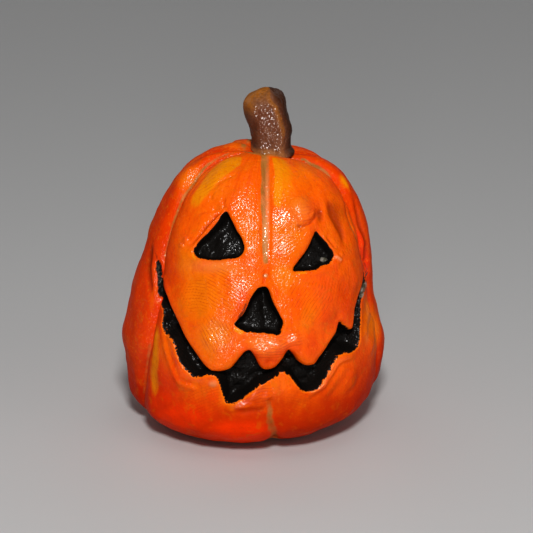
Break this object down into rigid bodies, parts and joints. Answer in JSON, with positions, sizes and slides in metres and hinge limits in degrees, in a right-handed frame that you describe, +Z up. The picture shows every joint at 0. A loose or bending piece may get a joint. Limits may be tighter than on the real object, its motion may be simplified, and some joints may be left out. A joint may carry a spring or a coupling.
{
  "type": "painted clay pumpkin lantern figurine",
  "caption": "Small solid clay figurine of a carved pumpkin lantern: lobed orange body with black recessed eyes, nose and toothed grin, short brown stem on the crown.",
  "frame": {"origin": "on the table, at the middle of the body's outline seen from above", "axes": "+Z up through the crown, the carved face looks along -Y, +X is to the right of someone who looks at the face"},
  "size_m": [0.043, 0.041, 0.0552],
  "materials": {
    "orange_clay": "orange paint with yellow streaks under varnish, recesses painted black",
    "brown_clay": "brown paint with ochre edges under varnish"
  },
  "bodies": {
    "root": {"pumpkin": "orange_clay", "stem": "brown_clay"}
  },
  "joints": []
}
